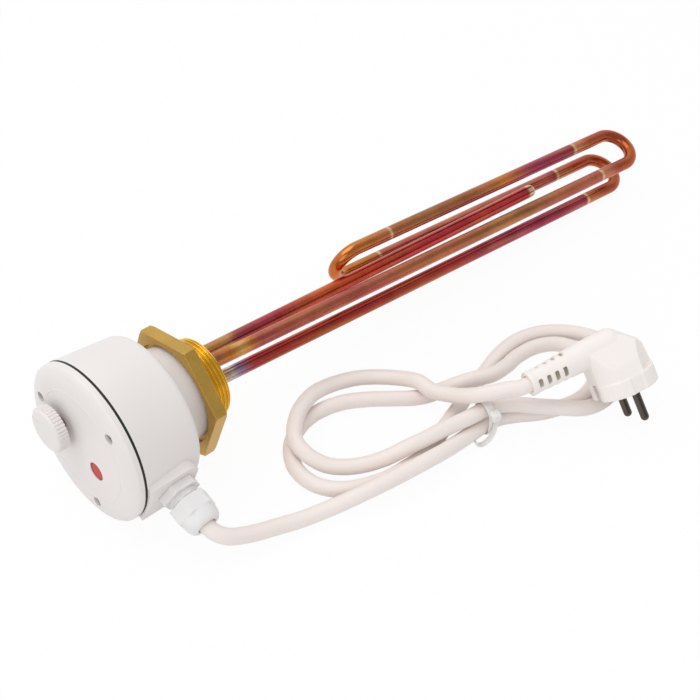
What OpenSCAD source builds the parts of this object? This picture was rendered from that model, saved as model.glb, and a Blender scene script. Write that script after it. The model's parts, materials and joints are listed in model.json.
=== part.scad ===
// Screw plug immersion heater with a folded element, lying on a table.
// The heater is drawn along its own axis: x = 0 is the tank end of the thread,
// +x runs along the element and -x runs into the terminal housing.
// place() then lays it down so that it rests on the housing rim and on the element.

/* [Screw plug] */
// Outside diameter of the pipe thread
thread_d = 47.8; // [40:0.1:60]
// Length of the thread
thread_len = 14; // [10:0.5:24]
// Width of the hexagon across its flats
hex_af = 66; // [63:0.5:80]
// Thickness of the hexagon
hex_t = 7.6; // [5:0.1:14]
// Turn of the hexagon about the axis
hex_turn = 56; // [0:1:60]
// Chamfer on the corners of the hexagon
hex_chamfer = 0.6; // [0.3:0.1:2]
// Depth of the round seat for the housing neck
seat_depth = 2.5; // [1:0.5:4]
// Gap between the neck and the wall of its seat
seat_gap = 2; // [0.3:0.1:3]

/* [Heating element] */
// Diameter of the element rod
rod_d = 8.2; // [6:0.1:10]
// Half of the distance between the two legs
leg_half = 12.5; // [11:0.1:15]
// Distance from the legs to the folded runs
fold_y = 26; // [22:0.5:32]
// Length of the legs to the far bends
leg_len = 348; // [200:1:500]
// Distance of the near bend from the plug
near_bend_x = 127; // [60:1:180]
// Sideways lean of the element
element_lean = 3.7; // [0:0.1:5]
// Sag of the element
element_sag = 0.4; // [0:0.1:1]
// Length of the cold end behind the seat floor
cold_end = 5.5; // [4:0.5:8]

/* [Pocket] */
// Diameter of the pocket tube
pocket_d = 8.2; // [7.4:0.1:10]
// Wall of the pocket tube
pocket_wall = 0.9; // [0.6:0.1:1.2]
// Distance of the pocket from the axis
pocket_y = 12.2; // [11:0.1:14]
// Length of the pocket tube
pocket_len = 280; // [150:1:330]
// Sideways lean of the pocket tube
pocket_lean = 2.6; // [0:0.1:4]
// Radial gap between the sensing rod and the pocket tube
rod_gap = 0.4; // [0.2:0.1:0.6]

/* [Housing] */
// Radius of the neck
neck_r = 27.5; // [26:0.5:29]
// Length of the neck from the seat floor to the drum
neck_len = 15.9; // [13:0.1:24]
// Radius of the drum at its rim
drum_rim_r = 45.5; // [45:0.1:50]
// Taper of the drum's radius from its rim to its back
drum_taper = 3.1; // [0:0.1:5]
// Depth of the drum
drum_len = 37.9; // [37:0.1:60]
// Wall of the housing
wall = 2.5; // [2:0.1:3]
// Rounding of the drum's back edge
drum_round = 5; // [3:0.5:7]
// Thickness of the neck's floor
neck_floor = 3; // [2:0.5:4]

/* [Front cover] */
// Thickness of the cover gasket
gasket_t = 1.4; // [0.8:0.1:2.5]
// Width of the gasket's ring
gasket_w = 3; // [2:0.1:3.5]
// Straight edge of the cover
cover_edge = 2.2; // [1.5:0.1:5]
// Height of the cover's rounded rim
cover_rise = 3.4; // [3:0.1:7]
// Width of the cover's rounded rim
cover_roll = 10; // [8:0.5:12]
// Wall of the cover
cover_wall = 2.5; // [2:0.1:3]
// Gap between the cover posts and the gasket
post_gap = 2; // [1.5:0.1:4]
// Turn of the cover screws about the axis
screw_turn = -2.5; // [-10:0.5:10]
// Radius of the cover posts
post_r = 4.5; // [4:0.1:4.8]
// Radius of a cover screw's head
cover_head_r = 2.4; // [2.2:0.1:3.4]
// Radius of a cover screw's shank
cover_shank_r = 1.4; // [1.2:0.1:1.7]

/* [Knob and pilot lens] */
// Radius of the knob
knob_r = 12.8; // [10:0.1:14]
// Height of the knob
knob_h = 6.3; // [5:0.1:12]
// Distance of the knob from the cover's centre
knob_y = 17; // [16:0.1:18]
// Number of ribs round the knob
knob_ribs = 40; // [20:1:48]
// Height of a rib
rib_h = 0.6; // [0.3:0.1:1]
// Radius of the control spindle
spindle_r = 3; // [2.5:0.1:3.5]
// Distance of the knob from the cover
knob_off = 4.2; // [0.4:0.1:5]
// Gap between moving and fixed pieces
run_gap = 0.4; // [0.3:0.05:0.6]
// Radius of the pilot lens
lens_r = 5.3; // [4:0.1:6]
// Distance of the pilot lens from the cover's centre
lens_ring_r = 14.9; // [14:0.1:18]
// Direction of the pilot lens from the cover's centre
lens_angle = 202; // [180:1:215]

/* [Cord gland] */
// Distance of the gland from the drum's back
gland_x = 19; // [17.5:0.5:21]
// Height of the gland pad above the drum's rim
pad_rise = 0.5; // [0.3:0.1:2]
// Width of the gland pad
pad_w = 31; // [28:0.5:34]
// Distance of the gland pad's end from the gland
pad_end = 12.5; // [11:0.5:13]
// Rounding of the gland pad's corners
pad_round = 9; // [5:0.5:10]
// Width of the gland's hexagons across their flats
gland_af = 20; // [19:0.5:24]
// Height of the fixed hexagon
gland_flange_h = 5; // [3:0.5:7]
// Thread left free between the two hexagons
gland_gap = 4; // [1.5:0.5:5]
// Height of the nut's hexagon
gland_nut_h = 9; // [8:0.5:12]
// Height of the nut's dome
gland_dome_h = 7.5; // [4:0.1:9]
// Radius of the gland's thread
gland_thread_r = 7.9; // [7.6:0.1:8.2]

/* [Mains cord and plug] */
// Diameter of the cord
cord_d = 9; // [7:0.1:9.2]
// Radius of the plug's flange
plug_r = 19; // [18:0.5:20]
// Thickness of the plug's flange
plug_flange_h = 9.5; // [8:0.5:11]
// Height of the whole plug behind its face
plug_h = 36.3; // [34:0.1:40]
// Diameter of a plug pin
pin_d = 4.8; // [4:0.1:5]
// Length of a plug pin
pin_len = 19; // [17:0.1:20]
// Distance between the plug pins
pin_pitch = 19; // [18:0.1:20]
// Length of the strain relief
relief_len = 35; // [30:0.5:38]
// Number of slots along the strain relief
relief_slots = 4; // [3:1:5]

/* [Hidden] */
$fn = 64;

braze = 0.1;
fit = 0.1;
rod_r = rod_d / 2;
pocket_r = pocket_d / 2;
cord_r = cord_d / 2;

// Stations along the axis
hex_front_x = -thread_len;
hex_back_x = hex_front_x - hex_t;
seat_x = hex_back_x + seat_depth;
drum_back_x = seat_x - neck_len;
rim_x = drum_back_x - drum_len;
drum_back_r = drum_rim_r - drum_taper;
cover_x = rim_x - gasket_t;
face_x = cover_x - cover_edge - cover_rise;
inner_face_x = face_x + cover_wall;
drum_inner_x = drum_back_x - wall;
neck_inner_x = seat_x - neck_floor;
knob_back_x = face_x - knob_off;
knob_front_x = knob_back_x - knob_h;
cold_x = seat_x - cold_end;
bend_r = fold_y / 2;
screw_ring_r = drum_rim_r - gasket_w - post_r - post_gap;

// Housing screws
fix_r = 2;
fix_head_r = 3.6;
fix_head_h = 2.5;
fix_depth = 7;
fix_pos = [[-15, 13], [-15, -13]];

// Inside the housing
bush_r = 4.4;
bush_h = 5;
pin_r = 2;
pin_out = 14;
control_y0 = pocket_y - 8.2;
control_y1 = screw_ring_r - post_r - 1;
control_z = 13;
control_len = 30;
control_x = inner_face_x + control_len;
sense_depth = 6;
sense_r = pocket_r - pocket_wall - rod_gap;
spindle_depth = 12;
spindle_grip = 4;
lens_sink = 0.5;
lens_lip = 1.3;
lens_lip_h = 1.5;
holder_h = 16;
screw_sink = 1.6;
screw_deep = 10;

// Cord gland
gland_cx = drum_back_x - gland_x;
lock_h = 4;
lock_af = 24;
lock_gap = 0.5;
pad_y = drum_rim_r + pad_rise;
lock_drum_r = min(drum_r(gland_cx + lock_af / 3), drum_r(gland_cx - lock_af / 3)) - wall;
pad_t = pad_y - sqrt(pow(lock_drum_r, 2) - pow(lock_af / 2, 2)) + lock_gap;
flange_end = pad_y + gland_flange_h;
nut_start = flange_end + gland_gap;
nut_end = nut_start + gland_nut_h;
dome_end = nut_end + gland_dome_h;
stem_end = nut_end - 3.5;
cord_hole_r = cord_r + 0.8;
dome_top_r = cord_hole_r + 1.6;

// Rest on the table: the rim and the lower leg carry the heater
roll = 20;
leg_drop = leg_half * cos(roll) + leg_len * (sin(element_lean) * sin(roll) + sin(element_sag) * cos(roll))
  + rod_r;
tilt = atan((drum_rim_r - leg_drop) / (leg_len - rim_x));
lift = drum_rim_r * cos(tilt) + rim_x * sin(tilt);
tip_x = (leg_len + bend_r + rod_r) * cos(element_lean) + bend_r * sin(element_lean);
mid_x = (tip_x * cos(tilt) - leg_drop * sin(tilt) + rod_r * sin(tilt) + knob_front_x * cos(tilt)) / 2;
mid_y = (drum_rim_r - dome_end * cos(roll) - dome_top_r * sin(roll)) / 2;

function turn_x(p, a) = [p[0], p[1] * cos(a) - p[2] * sin(a), p[1] * sin(a) + p[2] * cos(a)];
function turn_y(p, a) = [p[0] * cos(a) + p[2] * sin(a), p[1], -p[0] * sin(a) + p[2] * cos(a)];
function turn_z(p, a) = [p[0] * cos(a) - p[1] * sin(a), p[0] * sin(a) + p[1] * cos(a), p[2]];
function placed(p) = turn_y(turn_x(p, roll), tilt) + [-mid_x, -mid_y, lift];

// Place of the cord and the mains plug on the table, beside the heater
table_at = [137.8 - mid_x, -10.8 - mid_y, 0];

// Mains plug: face centre and turn
plug_at = [38.5, -143.5, 21.3] + table_at;
plug_turn = [-37, -9, -16];
hump_r = 8.3;
hump_drop = 30;
hump_len = 15;
hump_end_r = 5;
plug_flat = plug_r - 1.2;
shell_top = plug_h - 5.3;
shell_side = plug_r - 1;
scoop_r = 24;
relief_z = plug_h - hump_r;
relief_x0 = plug_r - 1;
relief_x1 = relief_x0 + relief_len;
relief_r = 6.7;
relief_pitch = 5.2;
slot_w = 2.4;
pin_root_d = pin_d - 0.6;
pin_neck = 0.5;
relief_bore_r = cord_r + 0.2;
relief_bore_len = 24;
function on_plug(p) = turn_z(turn_y(turn_x(p, plug_turn[0]), plug_turn[1]), plug_turn[2]) + plug_at;

// Route of the cord's centre line: from the gland over the tie to the right inner loop, the left loop
// below, the right outer loop, back through the tie to the left loop on top, then into the strain relief
gland_out = dome_end + 0.5;
cord_lay = [
  [-191.5, -61, 17.7], [-187.5, -65, 14.8], [-181, -67.5, 12], [-171.5, -70, 9], [-160, -73, 6.8],
  [-149, -77, 6], [-138, -80.5, 6], [-126, -85, 7.5], [-114, -89.5, 10], [-102, -93, 11.3],
  [-89, -95.5, 11.5], [-76, -97.5, 11.3], [-63, -98.5, 10], [-51, -98.5, 8.3], [-40, -98, 6.6],
  [-30, -98, 5.8], [-19, -100, 5.8], [-8, -105, 4.6], [3, -113, 4.6], [16, -119, 4.6],
  [30, -122, 4.6], [45, -119, 4.6], [56, -110, 4.6], [60, -97, 4.6], [56, -84, 4.6],
  [45, -76, 4.6], [30, -74, 5.5], [14, -77.5, 9.5], [-1, -79, 13.5], [-14, -73.5, 14.4],
  [-25, -65.5, 9.5], [-33.5, -59, 4.9], [-41, -54, 4.6], [-50, -46, 4.6], [-60, -37, 4.6],
  [-72, -29, 4.6], [-85, -25, 4.6], [-97, -25, 4.6], [-107, -28, 4.6], [-115, -33, 4.6],
  [-121, -39.5, 4.6], [-125, -47, 4.6], [-126.5, -55.5, 4.6], [-125.5, -64, 4.6], [-121.5, -72, 4.6],
  [-114.5, -79, 4.6], [-104, -84.5, 4.6], [-93, -88, 4.6], [-81, -89.5, 4.6], [-69, -90, 4.6],
  [-57, -87.5, 4.6], [-44, -83, 4.6], [-30, -79, 4.6], [-14, -74, 4.6], [4, -69.5, 4.6],
  [22, -65, 4.6], [39, -64, 4.6], [53, -68, 4.6], [64, -76, 4.6], [73, -88, 4.6],
  [77, -102, 4.6], [74, -116, 4.6], [64.5, -124.5, 4.6], [51, -130.5, 4.6], [36, -132, 4.6],
  [20.5, -130.2, 8.3], [7, -122.5, 12.7], [-3, -113, 14], [-12, -104, 15.2], [-23, -97.5, 15.8],
  [-38, -94, 15.3], [-52, -90.5, 14.8], [-65, -88, 14.3], [-77, -84.5, 13], [-87, -79.5, 9],
  [-97, -74, 7], [-106, -67.5, 6.5], [-113, -60.5, 7.5], [-117, -53, 10], [-118.5, -46, 12.5],
  [-117, -39, 13.8], [-112, -32.5, 14], [-104, -26, 14], [-95, -21.5, 14], [-85, -18.5, 13],
  [-74, -17, 10], [-63, -18, 7.5], [-52, -22.5, 6.5], [-43, -31, 7], [-37, -43, 10],
  [-35.3, -54, 13.8], [-36, -65, 14.9], [-34, -75, 17.7], [-32.5, -84.5, 22], [-30, -92.5, 26.8],
  [-25, -99, 29.8], [-19, -105, 32.3]
];
cord_route = concat(
  [placed([gland_cx, -flange_end, 0]), placed([gland_cx, -dome_end + 3, 0]), placed([gland_cx, -gland_out, 0])],
  [for (p = cord_lay) p + table_at],
  [on_plug([-relief_x1 - 2, 0, relief_z]), on_plug([-relief_x1 + relief_bore_len - 1, 0, relief_z])]
);
cord_sides = 10;

// Cable tie round the cord
tie_at = [-27, -97.5, 11.2] + table_at;
tie_turn = -15;
tie_w = 5;
tie_half_y = 8.8;
tie_half_z = 11;
tie_t = 1.1;

function unit(v) = v / norm(v);
function along(pts, i) = unit(pts[min(i + 1, len(pts) - 1)] - pts[max(i - 1, 0)]);
function side_of(t) = unit(cross(t, [0, 0, 1]));

module place() {
  translate([-mid_x, -mid_y, lift]) rotate([0, tilt, 0]) rotate([roll, 0, 0]) children();
}
module leaned() {
  rotate([0, element_sag, -element_lean]) children();
}
module pocket_leaned() {
  rotate([0, element_sag, -pocket_lean]) children();
}
// Solid cylinder along +x from x0 to x1
module bar(x0, x1, r, y = 0, z = 0) {
  translate([x0, y, z]) rotate([0, 90, 0]) cylinder(r = r, h = x1 - x0);
}
// Solid of revolution about the x axis from [x, r] points
module turned(pts) {
  rotate([0, 90, 0]) rotate_extrude() polygon([for (p = pts) [p[1], p[0]]]);
}
// Hexagonal bar along -y from y0 to y1 at the gland
module gland_hex(y0, y1, af) {
  translate([gland_cx, -y0, 0]) rotate([90, 0, 0]) cylinder(r = af / sqrt(3), h = y1 - y0, $fn = 6);
}
module gland_round(y0, y1, r) {
  translate([gland_cx, -y0, 0]) rotate([90, 0, 0]) cylinder(r = r, h = y1 - y0);
}
module on_ring(n, r) {
  for (i = [0:n - 1]) rotate([screw_turn + 360 / n * i, 0, 0]) translate([0, r, 0]) children();
}

module screw_plug() {
  color("goldenrod") place() difference() {
    union() {
      bar(-thread_len - 1, 0, thread_d / 2);
      intersection() {
        translate([hex_back_x, 0, 0]) rotate([hex_turn, 0, 0]) rotate([0, 90, 0])
          cylinder(r = hex_af / sqrt(3), h = hex_t, $fn = 6);
        turned([
          [hex_back_x, 0], [hex_back_x, hex_af / sqrt(3) - 2 * hex_chamfer],
          [hex_back_x + hex_chamfer, hex_af / sqrt(3)], [hex_front_x - hex_chamfer, hex_af / sqrt(3)],
          [hex_front_x, hex_af / sqrt(3) - 2 * hex_chamfer], [hex_front_x, 0]
        ]);
      }
    }
    bar(hex_back_x - 1, seat_x, neck_r + seat_gap);
    leaned() for (s = [-1, 1]) bar(seat_x - 4, 4, rod_r + braze, 0, s * leg_half);
    pocket_leaned() bar(seat_x - 4, 4, pocket_r + braze, pocket_y, 0);
    for (p = fix_pos) bar(seat_x - 1, seat_x + fix_depth + 0.5, fix_r + fit, p[0], p[1]);
  }
}

module heating_element() {
  color("sienna") place() leaned() union() {
    for (s = [-1, 1]) {
      bar(cold_x, leg_len, rod_r, 0, s * leg_half);
      bar(near_bend_x, leg_len, rod_r, fold_y, s * leg_half);
      translate([leg_len, bend_r, s * leg_half]) rotate([0, 0, -90])
        rotate_extrude(angle = 180) translate([bend_r, 0]) circle(r = rod_r);
    }
    translate([near_bend_x, fold_y, 0]) rotate([90, 0, 0]) rotate([0, 0, 90])
      rotate_extrude(angle = 180) translate([leg_half, 0]) circle(r = rod_r);
  }
}

module pocket_tube() {
  color("peru") place() pocket_leaned() difference() {
    union() {
      bar(seat_x + 0.3, pocket_len - pocket_r, pocket_r, pocket_y, 0);
      translate([pocket_len - pocket_r, pocket_y, 0]) sphere(r = pocket_r);
    }
    bar(seat_x - 2, pocket_len - pocket_r - 1, pocket_r - pocket_wall, pocket_y, 0);
  }
}

module sensing_rod() {
  color("silver") place() pocket_leaned()
    bar(control_x - sense_depth + 1, pocket_len - pocket_r - 1.3, sense_r, pocket_y, 0);
}

module terminal_bushes() {
  color("white") place() leaned() for (s = [-1, 1]) difference() {
    bar(cold_x - bush_h, cold_x, bush_r, 0, s * leg_half);
    bar(cold_x - bush_h - 1, cold_x + 1, pin_r + fit, 0, s * leg_half);
  }
}

module terminal_pins() {
  color("silver") place() leaned() for (s = [-1, 1]) bar(cold_x - pin_out, cold_x, pin_r, 0, s * leg_half);
}

// Drum radius at station x
function drum_r(x) = drum_back_r + (drum_rim_r - drum_back_r) * (drum_back_x - x) / drum_len;

module housing() {
  color("whitesmoke") place() difference() {
    union() {
      difference() {
        union() {
          bar(drum_back_x - 1, seat_x, neck_r);
          turned(concat(
            [[rim_x, 0], [rim_x, drum_rim_r]],
            [for (a = [0:15:90]) [
              drum_back_x - drum_round + drum_round * sin(a),
              drum_r(drum_back_x - drum_round) - drum_round + drum_round * cos(a)
            ]],
            [[drum_back_x, 0]]
          ));
        }
        turned([
          [rim_x - 1, 0], [rim_x - 1, drum_rim_r - wall], [rim_x, drum_rim_r - wall],
          [drum_inner_x - drum_round + wall, drum_r(drum_inner_x) - wall],
          [drum_inner_x, drum_r(drum_inner_x) - wall - drum_round + wall],
          [drum_inner_x, neck_r - wall], [neck_inner_x, neck_r - wall], [neck_inner_x, 0]
        ]);
      }
      on_ring(3, screw_ring_r) bar(cover_x, drum_back_x - wall / 2, post_r);
      translate([0, -pad_y + pad_t, 0]) rotate([90, 0, 0]) linear_extrude(pad_t) {
        translate([rim_x, -pad_w / 2]) square([gland_cx + pad_end - pad_round - rim_x, pad_w]);
        translate([rim_x, pad_round - pad_w / 2]) square([gland_cx + pad_end - rim_x, pad_w - 2 * pad_round]);
        for (s = [-1, 1]) translate([gland_cx + pad_end - pad_round, s * (pad_w / 2 - pad_round)]) circle(r = pad_round);
      }
    }
    gland_round(pad_y - pad_t - 1, pad_y + 1, gland_thread_r + fit);
    on_ring(3, screw_ring_r) bar(cover_x - 1, cover_x + screw_deep, cover_shank_r + fit);
    leaned() for (s = [-1, 1]) bar(neck_inner_x - 3, seat_x + 2, rod_r + 0.6, 0, s * leg_half);
    pocket_leaned() bar(neck_inner_x - 3, seat_x + 2, pocket_r + 0.3, pocket_y, 0);
    for (p = fix_pos) bar(neck_inner_x - 1, seat_x + 1, fix_r + fit, p[0], p[1]);
  }
}

module housing_screws() {
  color("silver") place() for (p = fix_pos) {
    bar(neck_inner_x - fix_head_h, neck_inner_x, fix_head_r, p[0], p[1]);
    bar(neck_inner_x - 0.5, seat_x + fix_depth, fix_r, p[0], p[1]);
  }
}

module cover_gasket() {
  color("#1c1c1c") place() difference() {
    bar(cover_x, rim_x, drum_rim_r);
    bar(cover_x - 1, rim_x + 1, drum_rim_r - gasket_w);
  }
}

// Points of the cover's rounded rim, set in by t
function rim_arc(t) = [for (a = [0:11.25:90]) [
  cover_x - cover_edge - (cover_rise - t) * sin(a),
  drum_rim_r - t - (cover_roll) * (1 - cos(a))
]];

module front_cover() {
  color("whitesmoke") place() difference() {
    union() {
      difference() {
        turned(concat([[cover_x, 0], [cover_x, drum_rim_r]], rim_arc(0), [[face_x, 0]]));
        turned(concat([[cover_x + 1, 0], [cover_x + 1, drum_rim_r - cover_wall],
          [cover_x, drum_rim_r - cover_wall]], rim_arc(cover_wall), [[inner_face_x, 0]]));
      }
      on_ring(3, screw_ring_r) bar(face_x + 1, cover_x, post_r);
    }
    on_ring(3, screw_ring_r) {
      bar(face_x - 1, face_x + screw_sink + 2, cover_head_r + 0.5);
      bar(face_x - 1, cover_x + 1, cover_shank_r + fit);
    }
    bar(face_x - 1, inner_face_x + 1, spindle_r + run_gap, knob_y, 0);
    rotate([lens_angle, 0, 0]) bar(face_x - 1, inner_face_x + 1, lens_r + fit, lens_ring_r, 0);
  }
}

module cover_screws() {
  color("silver") place() on_ring(3, screw_ring_r) difference() {
    union() {
      bar(face_x + screw_sink, face_x + screw_sink + 2, cover_head_r);
      bar(face_x + screw_sink + 1, cover_x + screw_deep - 1, cover_shank_r);
    }
    for (a = [0, 90]) rotate([a, 0, 0])
      translate([face_x + screw_sink - 1, -cover_head_r * 0.65, -0.5]) cube([2, cover_head_r * 1.3, 1]);
  }
}

module knob() {
  step = 360 / knob_ribs;
  color("white") place() translate([knob_front_x, knob_y, 0]) difference() {
    union() {
      translate([1.2, 0, 0]) rotate([0, 90, 0]) linear_extrude(knob_h - 1.2)
        polygon([for (i = [0:knob_ribs - 1], q = [[0, 0], [0.25, 1], [0.55, 1], [0.8, 0]])
          (knob_r - rib_h + rib_h * q[1]) * [cos((i + q[0]) * step), sin((i + q[0]) * step)]]);
      turned([[0, 0], [0, knob_r - rib_h - 1.2], [0.35, knob_r - rib_h - 0.35], [1.2, knob_r - rib_h], [1.2, 0]]);
    }
    bar(knob_h - spindle_grip, knob_h + 1, spindle_r + fit / 2);
    translate([-1, knob_r * 0.45, -0.5]) cube([1.4, knob_r * 0.42, 1]);
  }
}

module control_spindle() {
  color("silver") place()
    bar(knob_back_x - spindle_grip, inner_face_x + spindle_depth, spindle_r, knob_y, 0);
}

module control_body() {
  color("dimgray") place() difference() {
    translate([inner_face_x, control_y0, -control_z])
      cube([control_len, control_y1 - control_y0, 2 * control_z]);
    bar(inner_face_x - 1, inner_face_x + spindle_depth + run_gap, spindle_r + run_gap, knob_y, 0);
    pocket_leaned() bar(control_x - sense_depth, control_x + 3, sense_r + 0.2, pocket_y, 0);
  }
}

module pilot_lens() {
  color("firebrick") place() rotate([lens_angle, 0, 0]) translate([0, lens_ring_r, 0]) {
    bar(face_x + lens_sink, inner_face_x + 0.5, lens_r);
    bar(inner_face_x, inner_face_x + lens_lip_h, lens_r + lens_lip);
  }
}

module lamp_holder() {
  color("gainsboro") place() rotate([lens_angle, 0, 0])
    bar(inner_face_x + lens_lip_h, inner_face_x + lens_lip_h + holder_h, lens_r, lens_ring_r, 0);
}

module gland_body() {
  color("white") place() difference() {
    union() {
      gland_hex(pad_y, flange_end, gland_af);
      gland_round(pad_y - pad_t - lock_h - 1, stem_end, gland_thread_r);
    }
    gland_round(pad_y - pad_t - lock_h - 2, stem_end + 1, cord_hole_r);
  }
}

module gland_lock_nut() {
  color("white") place() difference() {
    gland_hex(pad_y - pad_t - lock_h, pad_y - pad_t, lock_af);
    gland_round(pad_y - pad_t - lock_h - 1, pad_y - pad_t + 1, gland_thread_r + fit);
  }
}

module gland_seal() {
  color("dimgray") place() difference() {
    gland_round(stem_end, nut_end, gland_thread_r - 0.4);
    gland_round(stem_end - 1, nut_end + 1, cord_r + fit);
  }
}

module gland_nut() {
  color("white") place() difference() {
    union() {
      gland_hex(nut_start, nut_end, gland_af);
      translate([gland_cx, -nut_end, 0]) rotate([90, 0, 0]) rotate_extrude() polygon(concat(
        [[0, 0]],
        [for (a = [0:15:90]) [
          dome_top_r + (gland_af / 2 - dome_top_r) * cos(a), gland_dome_h * sin(a)
        ]],
        [[0, gland_dome_h]]
      ));
    }
    gland_round(nut_start - 1, nut_end, gland_thread_r + fit);
    gland_round(nut_end - 1, dome_end + 1, cord_hole_r);
  }
}

module mains_cord() {
  n = len(cord_route);
  m = cord_sides;
  rings = [for (i = [0:n - 1]) let (t = along(cord_route, i), u = side_of(t), v = cross(u, t))
    for (k = [0:m - 1]) cord_route[i] + cord_r * (cos(360 / m * k) * u + sin(360 / m * k) * v)];
  walls = [for (i = [0:n - 2], k = [0:m - 1])
    [i * m + k, i * m + (k + 1) % m, (i + 1) * m + (k + 1) % m, (i + 1) * m + k]];
  caps = [[for (k = [m - 1:-1:0]) k], [for (k = [0:m - 1]) (n - 1) * m + k]];
  color("linen") polyhedron(points = rings, faces = concat(walls, caps), convexity = 10);
}

module cable_tie() {
  color("white") translate(tie_at) rotate([0, 0, tie_turn]) rotate([90, 0, 90])
    translate([0, 0, -tie_w / 2]) {
      linear_extrude(tie_w) difference() {
        square([2 * tie_half_y, 2 * tie_half_z], center = true);
        square([2 * (tie_half_y - tie_t), 2 * (tie_half_z - tie_t)], center = true);
      }
      translate([-tie_half_y - 3.5, 1, 0]) cube([3.5, 6, tie_w]);
    }
}

module on_plug_frame() {
  translate(plug_at) rotate(plug_turn) children();
}

// Hipped shell behind the flange: a side outline, a cross-section and a round plan in common
module plug_shell() {
  difference() {
    intersection() {
      cylinder(r = plug_r - 0.6, h = shell_top);
      rotate([90, 0, 0]) linear_extrude(2 * plug_r, center = true) polygon([
        [-plug_flat + 0.3, plug_flange_h - 1], [-plug_flat + 0.3, shell_top], [plug_r * 0.32, shell_top],
        [plug_r * 0.84, shell_top - 9], [plug_flat - 0.2, plug_flange_h - 1]
      ]);
      rotate([90, 0, 90]) linear_extrude(2 * plug_r, center = true) polygon([
        [-shell_side, plug_flange_h - 1], [-shell_side * 0.845, plug_flange_h + 7.7], [-shell_side * 0.4, shell_top],
        [shell_side * 0.4, shell_top], [shell_side * 0.845, plug_flange_h + 7.7], [shell_side, plug_flange_h - 1]
      ]);
    }
    for (s = [-1, 1]) translate([scoop_r + 3.5, s * (scoop_r + 4), plug_flange_h])
      cylinder(r = scoop_r, h = shell_top);
  }
}

// Round back of the plug: it carries the cord in and slopes down to the far end
module plug_hump() {
  translate([-relief_x0 - 1, 0, relief_z]) rotate([0, 90, 0]) cylinder(r = hump_r, h = relief_x0 + 1);
  translate([0, 0, relief_z]) {
    sphere(r = hump_r);
    rotate([0, 90 + hump_drop, 0]) {
      cylinder(r1 = hump_r, r2 = hump_end_r, h = hump_len);
      translate([0, 0, hump_len]) sphere(r = hump_end_r);
    }
  }
}

// Tapered sleeve with slots at both sides and grooves above and below
module plug_relief() {
  translate([-relief_x1, 0, relief_z]) difference() {
    union() {
      rotate([0, 90, 0]) cylinder(r1 = relief_r, r2 = hump_r, h = relief_len);
      rotate([0, 90, 0]) cylinder(r = relief_r + 0.5, h = 3);
    }
    for (i = [1:relief_slots], s = [-1, 1]) {
      translate([i * relief_pitch, s * (cord_r + 4.6), -1.5]) cube([slot_w, 8, 5.5], center = true);
      translate([(i + 0.5) * relief_pitch, 0, s * (relief_r + 1.2)]) cube([slot_w, 9, 3], center = true);
    }
  }
}

module plug_body() {
  color("linen") on_plug_frame() difference() {
    union() {
      intersection() {
        cylinder(r = plug_r, h = plug_flange_h);
        translate([-plug_flat, -plug_r, 0]) cube([2 * plug_flat, 2 * plug_r, plug_flange_h]);
      }
      plug_shell();
      plug_hump();
      plug_relief();
    }
    translate([-relief_x1 - 1, 0, relief_z]) rotate([0, 90, 0]) cylinder(r = relief_bore_r, h = relief_bore_len + 1);
    for (s = [-1, 1]) {
      translate([0, s * pin_pitch / 2, -1]) cylinder(d = pin_root_d + fit, h = 9);
      translate([s * (plug_r - 1.5), 0, plug_flange_h / 2 - 0.5]) cube([3.1, 6, plug_flange_h + 1.1], center = true);
      translate([0, s * plug_r, plug_flange_h / 2 - 0.5]) cube([8, 2, plug_flange_h + 1], center = true);
    }
  }
}

module plug_pins() {
  color("gray") on_plug_frame() for (s = [-1, 1]) translate([0, s * pin_pitch / 2, -pin_len + pin_d / 2]) {
    cylinder(d = pin_d, h = pin_len - pin_d / 2 - pin_neck);
    cylinder(d = pin_root_d, h = pin_len - pin_d / 2 + 7.9);
    sphere(d = pin_d);
  }
}

module plug_earth_contacts() {
  color("silver") on_plug_frame() for (s = [-1, 1])
    translate([s * (plug_r - 2.55), 0, plug_flange_h / 2]) cube([1, 5.6, plug_flange_h - 1], center = true);
}

screw_plug();
heating_element();
pocket_tube();
sensing_rod();
terminal_bushes();
terminal_pins();
housing();
housing_screws();
cover_gasket();
front_cover();
cover_screws();
knob();
control_spindle();
control_body();
pilot_lens();
lamp_holder();
gland_body();
gland_lock_nut();
gland_seal();
gland_nut();
mains_cord();
cable_tie();
plug_body();
plug_pins();
plug_earth_contacts();
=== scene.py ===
"""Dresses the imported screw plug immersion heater: brass, copper, mouldings, cord and stage."""
import json
import math

import bmesh
import bpy
import numpy as np
from bpy.props import FloatProperty, FloatVectorProperty, IntProperty, PointerProperty
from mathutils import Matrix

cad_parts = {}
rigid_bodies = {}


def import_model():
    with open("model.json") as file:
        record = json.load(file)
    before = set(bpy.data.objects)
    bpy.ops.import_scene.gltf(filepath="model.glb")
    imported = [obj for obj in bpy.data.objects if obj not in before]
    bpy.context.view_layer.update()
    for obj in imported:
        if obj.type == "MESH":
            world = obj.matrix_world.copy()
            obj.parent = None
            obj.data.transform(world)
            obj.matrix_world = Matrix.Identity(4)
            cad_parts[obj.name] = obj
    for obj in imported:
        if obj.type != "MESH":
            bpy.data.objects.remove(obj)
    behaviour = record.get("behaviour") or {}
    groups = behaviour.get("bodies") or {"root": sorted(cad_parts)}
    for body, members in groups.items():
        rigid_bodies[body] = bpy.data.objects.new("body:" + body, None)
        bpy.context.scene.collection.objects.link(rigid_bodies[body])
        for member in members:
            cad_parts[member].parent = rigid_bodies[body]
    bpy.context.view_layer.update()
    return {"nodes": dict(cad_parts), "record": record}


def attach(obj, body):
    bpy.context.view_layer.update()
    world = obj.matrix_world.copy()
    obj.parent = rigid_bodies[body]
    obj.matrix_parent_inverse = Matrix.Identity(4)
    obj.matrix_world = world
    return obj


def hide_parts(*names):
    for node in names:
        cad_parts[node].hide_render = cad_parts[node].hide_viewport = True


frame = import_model()
NODES = frame["nodes"]
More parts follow.
